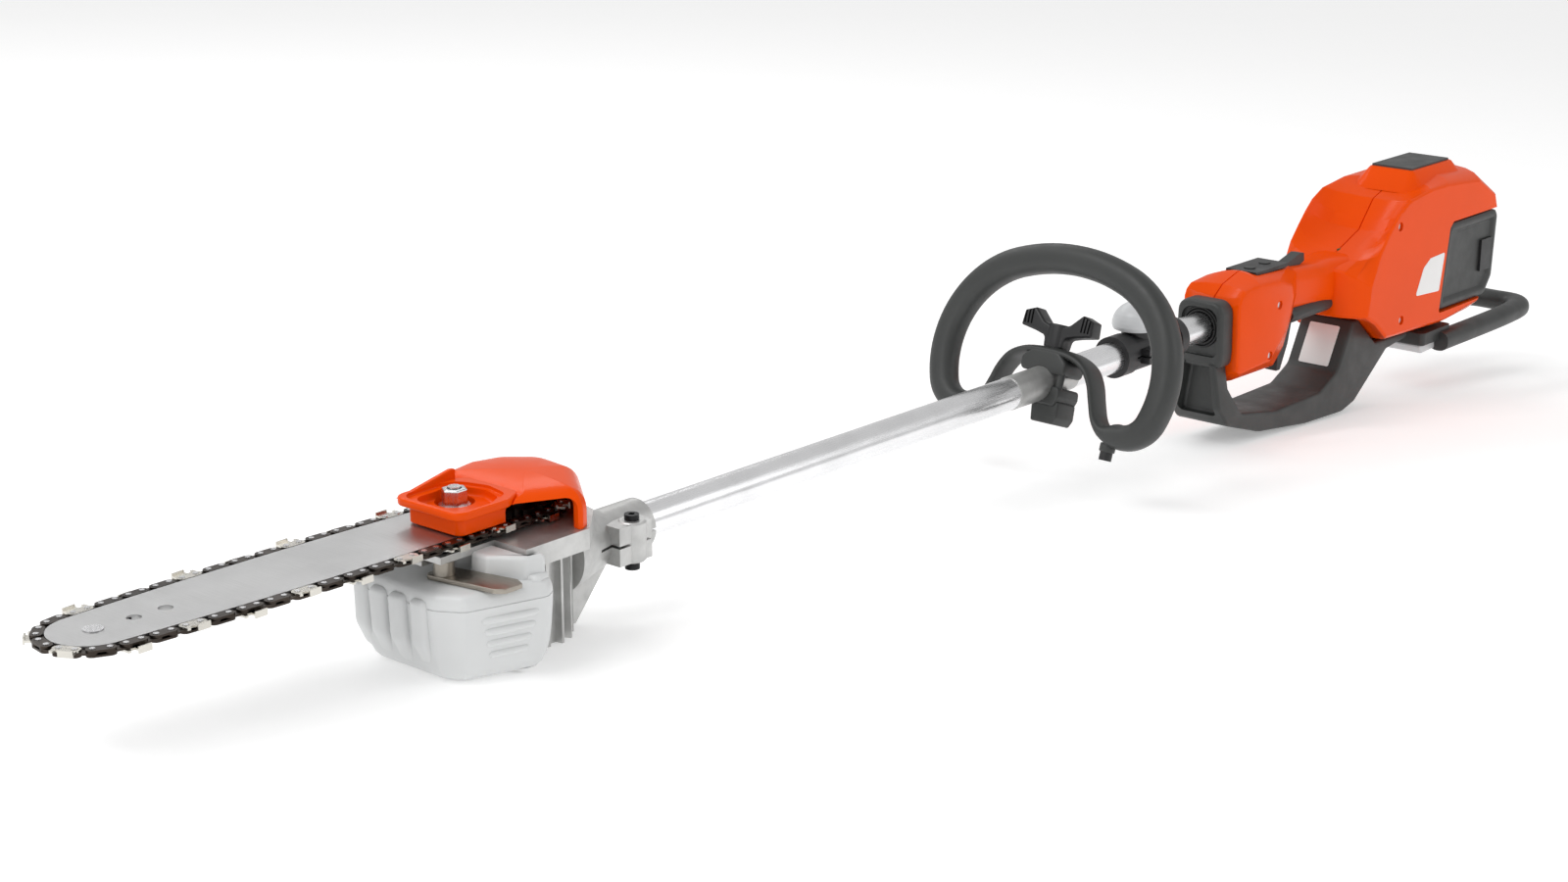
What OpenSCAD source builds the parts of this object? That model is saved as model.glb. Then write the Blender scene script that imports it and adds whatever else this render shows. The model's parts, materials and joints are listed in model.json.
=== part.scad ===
// Telescoping battery pole saw, lying with its guide bar flat and its guard down.
// Frame: X runs along the pole from the bar tip (minus) to the battery end (plus), Z is up.
// The origin is on the pole's axis, at the rear end of the saw head's tube clamp.

/* [Pole] */
// Outside diameter of the polished outer tube
tube_d = 25; // [24:0.5:26]
// Rear end of the outer tube, behind the head clamp
outer_tube_end = 560; // [540:5:580]
// How far the outer tube slides out of the rear assembly
telescope_travel = 420; // [300:10:440]
// Place of the loop handle's clamp along the pole
handle_x = 466; // [420:2:480]
// Backward lean of the loop handle, in degrees
handle_lean = 20; // [10:1:25]

/* [Saw head] */
// Height of the guide bar's middle plane above the pole's axis
bar_z = 38; // [36:0.5:40]
// Distance from the drive sprocket to the nose sprocket
bar_reach = 310; // [250:5:350]
// How far the bar bellies out between its two sprockets, each side
bar_belly = 4; // [2:0.5:6]
// Sideways skew of the bar, in degrees
bar_skew = 1.6; // [0:0.2:2]
// Teeth on the drive sprocket and on the nose sprocket
sprocket_teeth = 10; // [8:2:12]
// Distance between neighbouring chain rivets
chain_pitch = 9.525; // [9:0.025:10]
// Radius of the motor's can
can_r = 31; // [30:0.5:33]

/* [Rear assembly] */
// Half width of the trigger housing
throttle_half_w = 28; // [26:1:30]
// Half width of the hand grip
grip_half_w = 17; // [15:1:19]
// Half width of the battery housing
bay_half_w = 46; // [45:1:50]
// Wall of the moulded shells
wall = 2.5; // [2:0.5:3]
// Half width of the hand guard
guard_half_w = 26; // [24:1:28]
// Height of the guard's lowest point
guard_low = -114; // [-118:1:-110]

/* [Hidden] */
$fn = 48;
RUN = 0.05; // radial clearance of a fit that turns or slides
SNUG = 0.01; // radial clearance of a fit that stays put
tube_r = tube_d / 2;
tube_bore_r = tube_r - 1.3;
inner_r = tube_bore_r - 0.5;
liner_r = tube_r + 0.6;
sprocket_x = -103;
sprocket_y = 8;
shaft_r = 4.95;
stud_reach = 48;
seat_half_w = 20;
tension_side = 15;
tension_z = 30.6;
tension_bore_r = 2.55;
stud = [sprocket_x - stud_reach * cos(bar_skew), sprocket_y + stud_reach * sin(bar_skew)];
pivot_r = 2.5;
trigger_pivot = [803, -14];
lock_pivot = [804, 25];
rivet_circle_r = chain_pitch / (2 * sin(90 / sprocket_teeth));
grey = [0.27, 0.28, 0.29];
black = [0.09, 0.09, 0.10];
orange = [0.93, 0.27, 0.05];
alloy = [0.66, 0.67, 0.68];
steel = [0.55, 0.55, 0.56];
dark_steel = [0.22, 0.20, 0.19];
white = [0.92, 0.93, 0.92];

// ---------- shared shapes ----------

// Cylinder along X between two places
module xrod(r, x0, x1, y = 0, z = 0) {
    translate([x0, y, z]) rotate([0, 90, 0]) cylinder(r = r, h = x1 - x0);
}

// Cylinder along Y between two places
module yrod(r, y0, y1, x = 0, z = 0) {
    translate([x, y1, z]) rotate([90, 0, 0]) cylinder(r = r, h = y1 - y0);
}

// Cylinder along Z between two heights
module zrod(r, z0, z1, x = 0, y = 0) {
    translate([x, y, z0]) cylinder(r = r, h = z1 - z0);
}

// Box between two corners
module span(low, high) {
    translate(low) cube(high - low);
}

// Side outline (x, z) extruded from y0 to y1
module side_slab(points, y0, y1) {
    translate([0, y1, 0]) rotate([90, 0, 0]) linear_extrude(y1 - y0) polygon(points);
}

// Side outline with its corners rounded, grown by a margin
module soft_outline(points, radius, grow = 0) {
    offset(r = radius, $fn = 24) offset(delta = grow - radius) polygon(points);
}

// A solid with a rounded side outline, from the middle plane out to half_w on one side;
// its outer edge steps in twice, so that it reads as a rounded shell
module half_body(points, half_w, radius, side, inset = 0) {
    for (step = [[0, 6], [1.3, 2.4], [3.3, 0]]) {
        depth = half_w - inset - step[1];
        rotate([90, 0, 0]) translate([0, 0, side < 0 ? 0 : -depth])
            linear_extrude(depth) soft_outline(points, radius, -inset - step[0]);
    }
}

// Things in the plane of the bar: u runs from the drive sprocket to the nose, v across the bar
module bar_frame() {
    translate([sprocket_x, sprocket_y, bar_z]) rotate([0, 0, 180 - bar_skew]) children();
}

// Things in the leaning plane of the loop handle
module handle_frame() {
    translate([handle_x, 0, 0]) rotate([0, handle_lean, 0]) children();
}

// ---------- chain path: two end arcs joined by two long shallow arcs ----------

belly_drop = (pow(bar_reach / 2, 2) - pow(bar_belly, 2)) / (2 * bar_belly);
belly_r = rivet_circle_r + bar_belly + belly_drop;
belly_half = atan(bar_reach / 2 / belly_drop);
belly_len = belly_r * belly_half * 2 * PI / 180;
end_turn = 180 - 2 * belly_half;
end_len = rivet_circle_r * end_turn * PI / 180;
loop_len = 2 * (belly_len + end_len);
link_count = 2 * round(loop_len / chain_pitch / 2);
link_step = loop_len / link_count;

// A point on an arc: centre, radius and direction angle
function on_arc(centre, radius, angle) = centre + radius * [cos(angle), sin(angle)];

// A point at distance s along a loop that runs parallel to the rivet line, out by a margin
function loop_point(s, out = 0) =
    let (t = s - loop_len * floor(s / loop_len))
    t < end_len ? on_arc([0, 0], rivet_circle_r + out, 90 + belly_half + t / rivet_circle_r * 180 / PI) :
    t < end_len + belly_len ? on_arc([bar_reach / 2, belly_drop], belly_r + out,
        270 - belly_half + (t - end_len) / belly_r * 180 / PI) :
    t < 2 * end_len + belly_len ? on_arc([bar_reach, 0], rivet_circle_r + out,
        270 + belly_half + (t - end_len - belly_len) / rivet_circle_r * 180 / PI) :
    on_arc([bar_reach / 2, -belly_drop], belly_r + out,
        90 - belly_half + (t - 2 * end_len - belly_len) / belly_r * 180 / PI);

// Moves its children to the middle of link number i, with X along the chain and Y outward
module at_link(i) {
    a = loop_point(i * link_step);
    b = loop_point((i + 1) * link_step);
    translate([(a[0] + b[0]) / 2, (a[1] + b[1]) / 2, 0])
        rotate([0, 0, atan2(b[1] - a[1], b[0] - a[0]) + 180])
            children();
}

// Outline of the loop, moved in or out, as a polygon
module loop_outline(out) {
    polygon([for (i = [0:191]) loop_point(i * loop_len / 192, out)]);
}

// A link plate with two round ends and two rivet holes
module link_plate(half_h) {
    difference() {
        union() {
            square([chain_pitch, 2 * half_h], center = true);
            for (side = [-1, 1]) translate([side * chain_pitch / 2, 0]) circle(half_h, $fn = 20);
        }
        for (side = [-1, 1]) translate([side * chain_pitch / 2, 0]) circle(1.8, $fn = 16);
    }
}

// ---------- saw head ----------

module motor_housing() color(alloy) difference() {
    union() {
        // bearing plate under the chain, with a pad that the bar rests on
        translate([0, 0, 20]) linear_extrude(13.5) polygon([[-152, -54], [-98, -54], [-70, -30],
            [-62, 0], [-66, 34], [-92, 50], [-152, 50]]);
        span([-196, -26, 29], [-150, 28, 33.5]);
        span([-184, -10, 33], [-132, 26, 35.9]);
        zrod(8, 20, 34, stud[0], stud[1]);
        // rib that holds the tension screw
        bar_frame() span([42, tension_side - 5, -13.5], [92.9, tension_side + 5, -4.5]);
        // motor can and its cooling fins
        zrod(can_r, -50, 21, sprocket_x, sprocket_y);
        for (a = [-100:20:60]) translate([sprocket_x, sprocket_y, -50]) rotate([0, 0, a])
            span([can_r - 2, -1.2, 0], [can_r + 5, 1.2, 70.5]);
        // neck and tube clamp
        translate([-76, 0, 0]) rotate([0, 90, 0]) cylinder(r1 = 27, r2 = 18, h = 40);
        xrod(17.5, -37, 0);
        span([-44, -27, -13], [-14, -8, 13]);
        zrod(6.5, -13, 13, -26, -20.5);
        // brace from the clamp down to the can
        side_slab([[-76, -44], [-70, -50], [-64, -50], [-34, -16], [-40, -8], [-76, -8]], -6, 6);
    }
    xrod(tube_r + RUN, -36, 1);
    xrod(6, -90, -30);
    span([-56, -40, -0.9], [1, -6, 0.9]);
    zrod(3.1, -14, 14, -26, -20.5);
    zrod(27.3, -51, 14, sprocket_x, sprocket_y);
    zrod(11.1, 13, 24, sprocket_x, sprocket_y);
    zrod(8, 23, 34, sprocket_x, sprocket_y);
    // pocket for the pump beside the shaft
    span([-134, sprocket_y - 9, 22], [-110, sprocket_y + 9, 34]);
    zrod(10, 23.9, 34, sprocket_x, sprocket_y);
    zrod(4, 19, 37, stud[0], stud[1]);
    // threaded seats of the hook's screw
    zrod(2.6, 28, 36, -188, -20);
    for (a = [0:90:270]) translate([sprocket_x, sprocket_y, 0]) rotate([0, 0, a + 45])
        zrod(1.7, -51, -30, 29.2);
    // seat of the tension screw, and the pocket that its block slides in
    bar_frame() xrod(tension_bore_r, 40, 98, tension_side, tension_z - bar_z);
    bar_frame() span([41, tension_side - 4.4, -11.8], [60, tension_side + 4.4, 0]);
}

module motor_cover() color(alloy) difference() {
    union() {
        zrod(can_r, -54, -50.1, sprocket_x, sprocket_y);
        zrod(27.2, -51, -46, sprocket_x, sprocket_y);
    }
    zrod(8.1, -51, -45, sprocket_x, sprocket_y);
    for (a = [0:90:270]) translate([sprocket_x, sprocket_y, 0]) rotate([0, 0, a + 45])
        zrod(1.7, -55, -45, 29.2);
}

module motor_cover_screws() color(steel)
    for (a = [0:90:270]) translate([sprocket_x, sprocket_y, 0]) rotate([0, 0, a + 45]) {
        zrod(1.6, -54.1, -36, 29.2);
        difference() {
            zrod(2.9, -56.3, -54, 29.2);
            translate([29.2, 0, -57]) cylinder(r = 1.5, h = 1.8, $fn = 6);
        }
    }

module stator() color([0.6, 0.35, 0.15]) translate([sprocket_x, sprocket_y, -32]) linear_extrude(42)
    difference() {
        circle(27.1);
        circle(14);
        for (a = [0:40:320]) rotate(a) translate([15, -2.2]) square([8, 4.4]);
    }

module rotor() color(steel) translate([sprocket_x, sprocket_y, 0]) {
    zrod(13, -30, 8);
    zrod(shaft_r, -49, 45.5);
}

module rotor_bearings() color(steel) translate([sprocket_x, sprocket_y, 0])
    for (seat = [[14.2, 11, 7.5], [-50.8, 8, 4.6]])
        difference() {
            zrod(seat[1], seat[0], seat[0] + seat[2]);
            zrod(shaft_r + RUN, seat[0] - 1, seat[0] + seat[2] + 1);
        }

module pump_worm() color(dark_steel) translate([sprocket_x, sprocket_y, 0]) difference() {
    union() {
        zrod(6.5, 24.2, 33.2);
        for (z = [25:2.5:31]) zrod(7.4, z, z + 1.2);
    }
    zrod(shaft_r + SNUG, 24, 34);
}

module oil_pump() color(black) difference() {
    span([-133.8, sprocket_y - 8.8, 22.2], [-114, sprocket_y + 8.8, 33.3]);
    yrod(2.55, sprocket_y - 10, sprocket_y + 10, -116.5, 28);
    span([-122.5, sprocket_y - 4.3, 22], [-113, sprocket_y + 4.3, 34]);
}

module pump_gear() color(steel) translate([-116.5, sprocket_y, 28]) rotate([90, 0, 0]) {
    translate([0, 0, -8.5]) cylinder(r = 2.5, h = 17);
    difference() {
        translate([0, 0, -4]) cylinder(r = 5.3, h = 8);
        for (a = [0:30:330]) rotate([0, 0, a]) translate([5.3, 0, -5]) cylinder(r = 0.8, h = 10, $fn = 16);
    }
}

module toothed_disc(outer, root) {
    difference() {
        circle(outer, $fn = 60);
        for (i = [0:sprocket_teeth - 1]) rotate((i + 0.5) * 360 / sprocket_teeth)
            translate([outer, 0]) circle(outer - root, $fn = 20);
    }
}

module drive_sprocket() color(dark_steel) bar_frame() difference() {
    union() {
        translate([0, 0, -2.6]) linear_extrude(5.2) toothed_disc(rivet_circle_r - 5.8, rivet_circle_r - 9.5);
        translate([0, 0, -4]) cylinder(r = 14, h = 9.5);
    }
    translate([0, 0, -6]) cylinder(r = shaft_r + SNUG, h = 20);
}

module sprocket_clip() color(steel) translate([sprocket_x, sprocket_y, 43.6]) difference() {
    cylinder(r = 8, h = 1);
    translate([0, 0, -1]) cylinder(r = shaft_r + SNUG, h = 3);
    span([-1.6, 0, -1], [1.6, 9, 2]);
}

module bar_stud() color(steel) zrod(3.95, 20.2, 60.5, stud[0], stud[1]);

module guide_bar() color([0.80, 0.81, 0.82]) bar_frame() difference() {
    translate([0, 0, -2]) linear_extrude(4) difference() {
        intersection() {
            loop_outline(-4.3);
            translate([rivet_circle_r + 5.4, -60]) square([bar_reach + 60, 120]);
        }
        // stud slot, oil hole, tension hole and the two holes near the nose
        translate([stud_reach - 14, -4.05]) square([28, 8.1]);
        for (x = [-14, 14]) translate([stud_reach + x, 0]) circle(4.05);
        translate([stud_reach + 2, tension_side]) circle(2.05);
        for (x = [26, 47]) translate([bar_reach - x, 1]) circle(4.4);
        translate([bar_reach, 0]) circle(4.3);
    }
    // groove for the drive links, and the nose sprocket's slot
    translate([0, 0, -0.8]) linear_extrude(1.6) difference() {
        loop_outline(3);
        loop_outline(-11.5);
    }
    translate([bar_reach, 0, -0.9]) cylinder(r = rivet_circle_r - 3, h = 1.8);
}

module nose_sprocket() color(steel) bar_frame() translate([bar_reach, 0, -0.7]) linear_extrude(1.4)
    difference() {
        toothed_disc(rivet_circle_r - 5.8, rivet_circle_r - 9.5);
        circle(4.3);
    }

module nose_rivets() color(white) bar_frame() translate([bar_reach, 0, 0]) {
    translate([0, 0, -2.5]) cylinder(r = 4.22, h = 5);
    for (side = [-1, 1]) translate([0, 0, side * 2.35 - 0.3]) cylinder(r = 6, h = 0.6);
}

module tension_pin() color(steel) bar_frame() difference() {
    union() {
        translate([stud_reach + 2, tension_side, -4.5]) cylinder(r = 1.95, h = 6.3);
        span([46, tension_side - 3.9, -11.4], [55, tension_side + 3.9, -3.4]);
    }
    xrod(tension_bore_r, 40, 60, tension_side, tension_z - bar_z);
}

module tension_screw() color(steel) bar_frame() {
    xrod(2.5, 44, 93.6, tension_side, tension_z - bar_z);
    xrod(3.6, 93.5, 97, tension_side, tension_z - bar_z);
}

module chain_drive_links() color(dark_steel) bar_frame()
    for (i = [0:2:link_count - 1]) at_link(i) {
        mid = loop_point((i + 0.5) * link_step);
        tang = (mid[0] < 18 || mid[0] > bar_reach - 18) ? 4.6 : 8.5;
        translate([0, 0, -0.6]) linear_extrude(1.2) difference() {
            union() {
                square([chain_pitch, 7], center = true);
                for (side = [-1, 1]) translate([side * chain_pitch / 2, 0]) circle(3.5, $fn = 20);
                polygon([[-4.4, -2], [4.4, -2], [2.2, -tang], [-0.8, -tang]]);
            }
            for (side = [-1, 1]) translate([side * chain_pitch / 2, 0]) circle(1.8, $fn = 16);
        }
    }

// True where a strap position carries a cutter, and on which side
function cutter_side(i) = (i % 4 == 1) ? ((i % 8 == 1) ? 1 : -1) : 0;

module chain_tie_straps() color(dark_steel) bar_frame()
    for (i = [1:2:link_count - 1]) for (side = [-1, 1])
        if (cutter_side(i) != side) at_link(i)
            translate([0, 0, side * 1.4 - 0.65]) linear_extrude(1.3) link_plate(3.6);

module chain_cutters() color([0.62, 0.61, 0.58]) bar_frame()
    for (i = [1:4:link_count - 1]) at_link(i) {
        side = cutter_side(i);
        translate([0, 0, side * 1.4 - 0.65]) linear_extrude(1.3) union() {
            link_plate(3.6);
            polygon([[-7.4, 2.2], [1.6, 2.2], [1.6, 7.2], [-7.2, 6.4]]);
            polygon([[4.0, 2.4], [7.6, 2.4], [7.4, 6.0], [5.4, 6.2]]);
        }
        // top plate with its cutting edge
        translate([0, 0, side > 0 ? -0.6 : -3.4]) side_top();
    }

module side_top() {
    linear_extrude(4) polygon([[-7.2, 6.0], [1.6, 6.6], [1.6, 7.6], [-7.2, 6.9]]);
}

module chain_rivets() color([0.7, 0.7, 0.7]) bar_frame()
    for (i = [0:link_count - 1]) {
        p = loop_point(i * link_step);
        translate([p[0], p[1], -2.5]) cylinder(r = 1.7, h = 5, $fn = 16);
    }

module sprocket_cover() color(orange) difference() {
    union() {
        // clamping block over the bar, with a pad that presses on it and a wider rim on top
        span([-178, -24, 41], [-126, 24, 56]);
        span([-176, -12, 40.2], [-136, 22, 41.1]);
        span([-184, -30, 53], [-126, 30, 58]);
        // shroud over the chain and drive sprocket
        translate([0, 0, 33.7]) linear_extrude(22) shroud_outline(0);
        translate([0, 0, 55.6]) linear_extrude(3) shroud_outline(-4);
        translate([0, 0, 58.5]) linear_extrude(2) shroud_outline(-12);
        // fin at the far edge
        side_slab([[-182, 57], [-136, 57], [-136, 64]], 25, 30);
    }
    // inside of the shroud, open to the front for the chain
    translate([0, 0, 33]) linear_extrude(22.5) shroud_outline(-3.5);
    translate([0, 0, 55]) linear_extrude(2) shroud_outline(-9);
    span([-141, -38, 33], [-125, 54, 41]);
    // pocket of the bar nut and the stud's hole
    zrod(15, 46, 70, stud[0], stud[1]);
    zrod(4.3, 40, 70, stud[0], stud[1]);
}

module shroud_outline(grow) {
    offset(r = 6, $fn = 24) offset(delta = grow - 6)
        polygon([[-134, -40], [-124, -54], [-104, -54], [-76, -38], [-62, -10], [-62, 24], [-80, 48],
            [-104, 54], [-134, 50]]);
}

module bar_nut() color([0.75, 0.75, 0.76]) translate([stud[0], stud[1], 46.2])
    difference() {
        union() {
            cylinder(r = 9.5, h = 2.4);
            cylinder(r = 7.5, h = 10.5, $fn = 6);
        }
        translate([0, 0, -1]) cylinder(r = 4.02, h = 20);
    }

TANK = [[-214, -48], [-204, -62], [-150, -72], [-139, -66], [-139, 32], [-152, 42], [-196, 42],
    [-212, 30]];

module tank_layer(z0, z1, grow) {
    translate([0, 0, z0]) linear_extrude(z1 - z0) offset(r = 8, $fn = 24) offset(delta = grow - 8)
        polygon(TANK);
}

module oil_tank() color(white) difference() {
    union() {
        tank_layer(-43, -36, -6);
        tank_layer(-37, -20, -2);
        tank_layer(-21, 8, 0);
        tank_layer(7, 13, -3);
        span([-175, -66, 6], [-152.2, -28, 30]);
        // cap neck on the far side
        yrod(15, 38, 45, -176, -12);
    }
    tank_layer(-40, -24, -9);
    tank_layer(-25, 6, -3);
    tank_layer(5, 10.5, -6);
    // ribs pressed into the front and the near end
    for (y = [-40:18:32]) span([-216, y, -60], [-211.2, y + 7, 20]);
    for (z = [-26:8:4]) span([-192, -80, z], [-158, -70.2, z + 3]);
    yrod(11, 30, 50, -176, -12);
}

module oil_cap() color(black) {
    yrod(15.5, 45.3, 54, -176, -12);
    yrod(10.8, 38, 45.4, -176, -12);
    span([-188, 53, -14], [-164, 60, -10]);
}

module oil_pickup() color([0.25, 0.25, 0.2]) {
    zrod(6, -36, -22, -176, -10);
    zrod(2.2, -23, 4, -176, -10);
}

module branch_hook() color([0.50, 0.48, 0.44]) difference() {
    translate([0, 0, 17]) linear_extrude(3)
        polygon([[-200, -8], [-178, -8], [-178, -86], [-183, -92], [-195, -92], [-200, -86]]);
    zrod(2.75, 16, 21, -188, -20);
}

module hook_spacer() color([0.62, 0.6, 0.57]) difference() {
    zrod(6.5, 20.1, 28.9, -188, -20);
    zrod(2.75, 20, 30, -188, -20);
}

module hook_screw() color(black) {
    zrod(2.5, 16.8, 33, -188, -20);
    difference() {
        zrod(4.6, 13.2, 16.9, -188, -20);
        translate([-188, -20, 12]) cylinder(r = 2.2, h = 3, $fn = 6);
    }
}

module clamp_screw() color(black) {
    zrod(3, -13.4, 13.2, -26, -20.5);
    difference() {
        zrod(4.9, 13.1, 17.6, -26, -20.5);
        translate([-26, -20.5, 15.4]) cylinder(r = 2.4, h = 4, $fn = 6);
    }
}

module clamp_nut() color(black) difference() {
    zrod(5, -19.5, -13.1, -26, -20.5);
    zrod(3.02, -14.5, -13, -26, -20.5);
}

module cable_gland() color(black) {
    xrod(5.9, -74, -40);
}

// ---------- pole ----------

module outer_tube() color([0.82, 0.83, 0.84]) difference() {
    xrod(tube_r, -34, outer_tube_end);
    xrod(tube_bore_r, -35, outer_tube_end + 1);
}

module inner_tube() color([0.78, 0.79, 0.8]) difference() {
    union() {
        xrod(inner_r, outer_tube_end - telescope_travel - 60, 742);
        xrod(tube_r, 646, 742);
    }
    xrod(inner_r - 1.4, outer_tube_end - telescope_travel - 61, 743);
}

module slide_bush() color(black) difference() {
    xrod(tube_bore_r - RUN, outer_tube_end - telescope_travel - 78, outer_tube_end - telescope_travel - 30);
    xrod(inner_r + 0.01, outer_tube_end - telescope_travel - 60.1, outer_tube_end);
    xrod(5, outer_tube_end - telescope_travel - 79, outer_tube_end);
}

module pole_cable() color(black) xrod(3.4, outer_tube_end - telescope_travel - 76, 755);

module telescope_collar() color(black) difference() {
    union() {
        xrod(17, outer_tube_end - 8, outer_tube_end + 8);
        xrod(16, outer_tube_end + 8, outer_tube_end + 72);
        xrod(17.5, outer_tube_end + 70, outer_tube_end + 80);
        zrod(12, 0, 18, outer_tube_end + 26);
        span([outer_tube_end + 12, -23, -6], [outer_tube_end + 44, 0, 6]);
    }
    xrod(tube_r + 0.01, outer_tube_end - 9, outer_tube_end + 0.1);
    xrod(inner_r + RUN, outer_tube_end, outer_tube_end + 90);
    span([outer_tube_end + 4, -30, -0.8], [outer_tube_end + 50, -6, 0.8]);
    zrod(4.1, 12, 20, outer_tube_end + 26);
}

module collar_knob() color([0.8, 0.8, 0.8]) translate([outer_tube_end + 26, 0, 0]) {
    zrod(4, 13, 20);
    translate([0, 0, 18.5]) rotate_extrude() polygon(concat([[0, 0], [19, 0], [20, 3]],
        [for (a = [10:10:90]) [20 * cos(a), 3 + 19 * sin(a)]]));
}

// ---------- loop handle ----------

top_grip_r = 12;
side_grip_r = 11.5;
lobe_r = 10;
top_bend = 150;
corner_bend = 80;
lobe_bend = 24;
top_mid = [0, 95 - top_bend];
corner_mid = top_mid + (top_bend - corner_bend) * [cos(70.5), sin(70.5)];
lobe_mid = corner_mid + (corner_bend - lobe_bend) * [cos(20), -sin(20)];

// Round bar of radius r along one arc of the leaning plane: centre, bend radius, first angle, turn
module grip_arc(r, centre, bend, first, turn) {
    rotate([90, 0, 90]) translate([centre[0], centre[1], 0]) rotate([0, 0, first])
        rotate_extrude(angle = turn) translate([bend, 0]) circle(r);
}

// Flat strap that rises from the grip's lower end and arches over the tube
STRAP = [[80, -30], [66, -30], [58, -14], [50, 6], [38, 18], [20, 22], [0, 24], [0, 18], [16, 16],
    [32, 11], [43, 0], [50, -18], [57, -36], [66, -44], [80, -44]];

module loop_handle() color(grey) handle_frame() difference() {
    union() {
        grip_arc(top_grip_r, top_mid, top_bend, 69.5, 41);
        for (side = [0, 1]) mirror([0, side, 0]) {
            grip_arc(side_grip_r, corner_mid, corner_bend, -20, 90.5);
            grip_arc(lobe_r, lobe_mid, lobe_bend, -110, 91);
            translate([-12, 0, 0]) rotate([90, 0, 90]) linear_extrude(24) polygon(STRAP);
        }
        span([-17, -22, 6], [17, 22, 24]);
    }
    rotate([0, -handle_lean, 0]) xrod(liner_r + SNUG, -60, 60);
    zrod(3.2, 0, 40);
}

module handle_saddle() color(grey) difference() {
    handle_frame() span([-16, -20, -34], [16, 20, 5.9]);
    xrod(liner_r + SNUG, handle_x - 60, handle_x + 60);
}

// Thin sleeve between the handle and the tube, which shows in front of the handle
module handle_liner() color([0.6, 0.62, 0.64]) difference() {
    xrod(liner_r, handle_x - 54, handle_x + 22);
    xrod(tube_r + RUN, handle_x - 60, handle_x + 60);
}

module handle_knob() color(black) handle_frame() {
    union() {
        zrod(9, 24.3, 36);
        zrod(3.1, 16.5, 25);
        for (side = [-1, 1]) hull() {
            translate([0, side * 6, 34]) cube([10, 4, 12], center = true);
            translate([0, side * 26, 41]) cube([9, 8, 17], center = true);
        }
    }
}

module handle_stud() color(black) handle_frame() {
    translate([0, -66, -52]) cylinder(r = 5, h = 7.8);
}

// ---------- rear assembly ----------

THROTTLE = [[698, -42], [698, 16], [708, 30], [740, 39], [806, 36], [826, 26], [826, 2], [806, -20],
    [800, -50], [790, -56], [716, -52]];
GRIP = [[800, -8], [800, 25], [850, 23], [884, 24], [884, -22], [868, -22], [864, -8]];
BAY = [[868, 24], [900, 33], [915, 46], [936, 66], [954, 75], [996, 84], [1030, 87], [1090, 82],
    [1124, 60], [1134, 20], [1130, -20], [1110, -56], [1086, -66], [944, -58], [908, -30], [870, -28]];

module housing_solid(side, inset) {
    half_body(THROTTLE, throttle_half_w, 8, side, inset);
    half_body(GRIP, grip_half_w, 5, side, inset);
    half_body(BAY, bay_half_w, 12, side, inset);
}

// Everything that both shells are cut away for
module housing_cuts() {
    xrod(tube_r + SNUG, 600, 742.2);
    // seat of the guard's front frame
    span([690, -seat_half_w - 0.2, -60], [706.2, seat_half_w + 0.2, 20.2]);
    // keypad window
    span([744, -15.2, 30], [796, 15.2, 60]);
    // slots of the lock lever and the trigger
    span([794, -5.2, 14], [846, 5.2, 60]);
    span([790, -6.2, -70], [830, 6.2, -4]);
    // battery bay with side windows, open to the rear
    span([1010, -bay_half_w - 5, -50.2], [1160, bay_half_w + 5, 42.2]);
    // window of the top panel
    span([998, -20.2, 80], [1068, 20.2, 100]);
    for (p = screw_places) yrod(1.75, -60, 60, p[0], p[1]);
}

// Screws of the two shells, as side places; the first two are in the trigger housing
screw_places = [[764, 8], [752, -34], [888, -14], [936, 50], [948, -38]];

function shell_half_w(i) = i < 2 ? throttle_half_w : bay_half_w;

module housing_shell(side) {
    difference() {
        union() {
            difference() {
                housing_solid(side, 0);
                housing_solid(side, wall);
            }
            for (i = [0:len(screw_places) - 1]) screw_boss(i, side);
            // ribs that close the shell round the front and rear of the tube
            tube_rib(side, 714);
            tube_rib(side, 736);
        }
        housing_cuts();
    }
}

// Boss that a shell screw passes through, from the wall to the middle plane
module screw_boss(i, side) {
    reach = shell_half_w(i) - 1;
    yrod(4.2, side < 0 ? -reach : 0, side < 0 ? 0 : reach, screw_places[i][0], screw_places[i][1]);
}

// Rib across one shell that holds the tube
module tube_rib(side, x) {
    depth = throttle_half_w - 1;
    span([x, side < 0 ? -depth : 0, -20], [x + 3, side < 0 ? 0 : depth, 20]);
}

module housing_left() color(orange) {
    housing_shell(-1);
    // moulded pins of the trigger and the lock lever
    yrod(pivot_r, -throttle_half_w + 1, 7, trigger_pivot[0], trigger_pivot[1]);
    yrod(pivot_r, -throttle_half_w + 1, 7, lock_pivot[0], lock_pivot[1]);
}

module housing_right() color(orange) translate([0, 0.05, 0]) housing_shell(1);

module housing_screws() color(dark_steel)
    for (i = [0:len(screw_places) - 1]) {
        head_y = 0.8 - shell_half_w(i);
        yrod(1.7, head_y, head_y + 20, screw_places[i][0], screw_places[i][1]);
    }

module keypad_panel() color(black) difference() {
    span([744.2, -15, 34.2], [795.8, 15, 37.6]);
    zrod(5.1, 33, 39, 758);
    zrod(5.1, 33, 39, 782);
}

module power_button() color(grey) {
    zrod(5, 33.4, 38.4, 758);
    zrod(6, 32.2, 33.5, 758);
}

module mode_button() color(grey) {
    zrod(5, 33.4, 38.4, 782);
    zrod(6, 32.2, 33.5, 782);
}

module trigger_lock() color(grey) difference() {
    side_slab([[798, 19], [799, 27], [806, 31], [834, 38], [840, 37], [841, 30], [832, 27],
        [826, 22], [808, 18]], -4.8, 4.8);
    yrod(pivot_r + RUN, -6, 6, lock_pivot[0], lock_pivot[1]);
}

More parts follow.
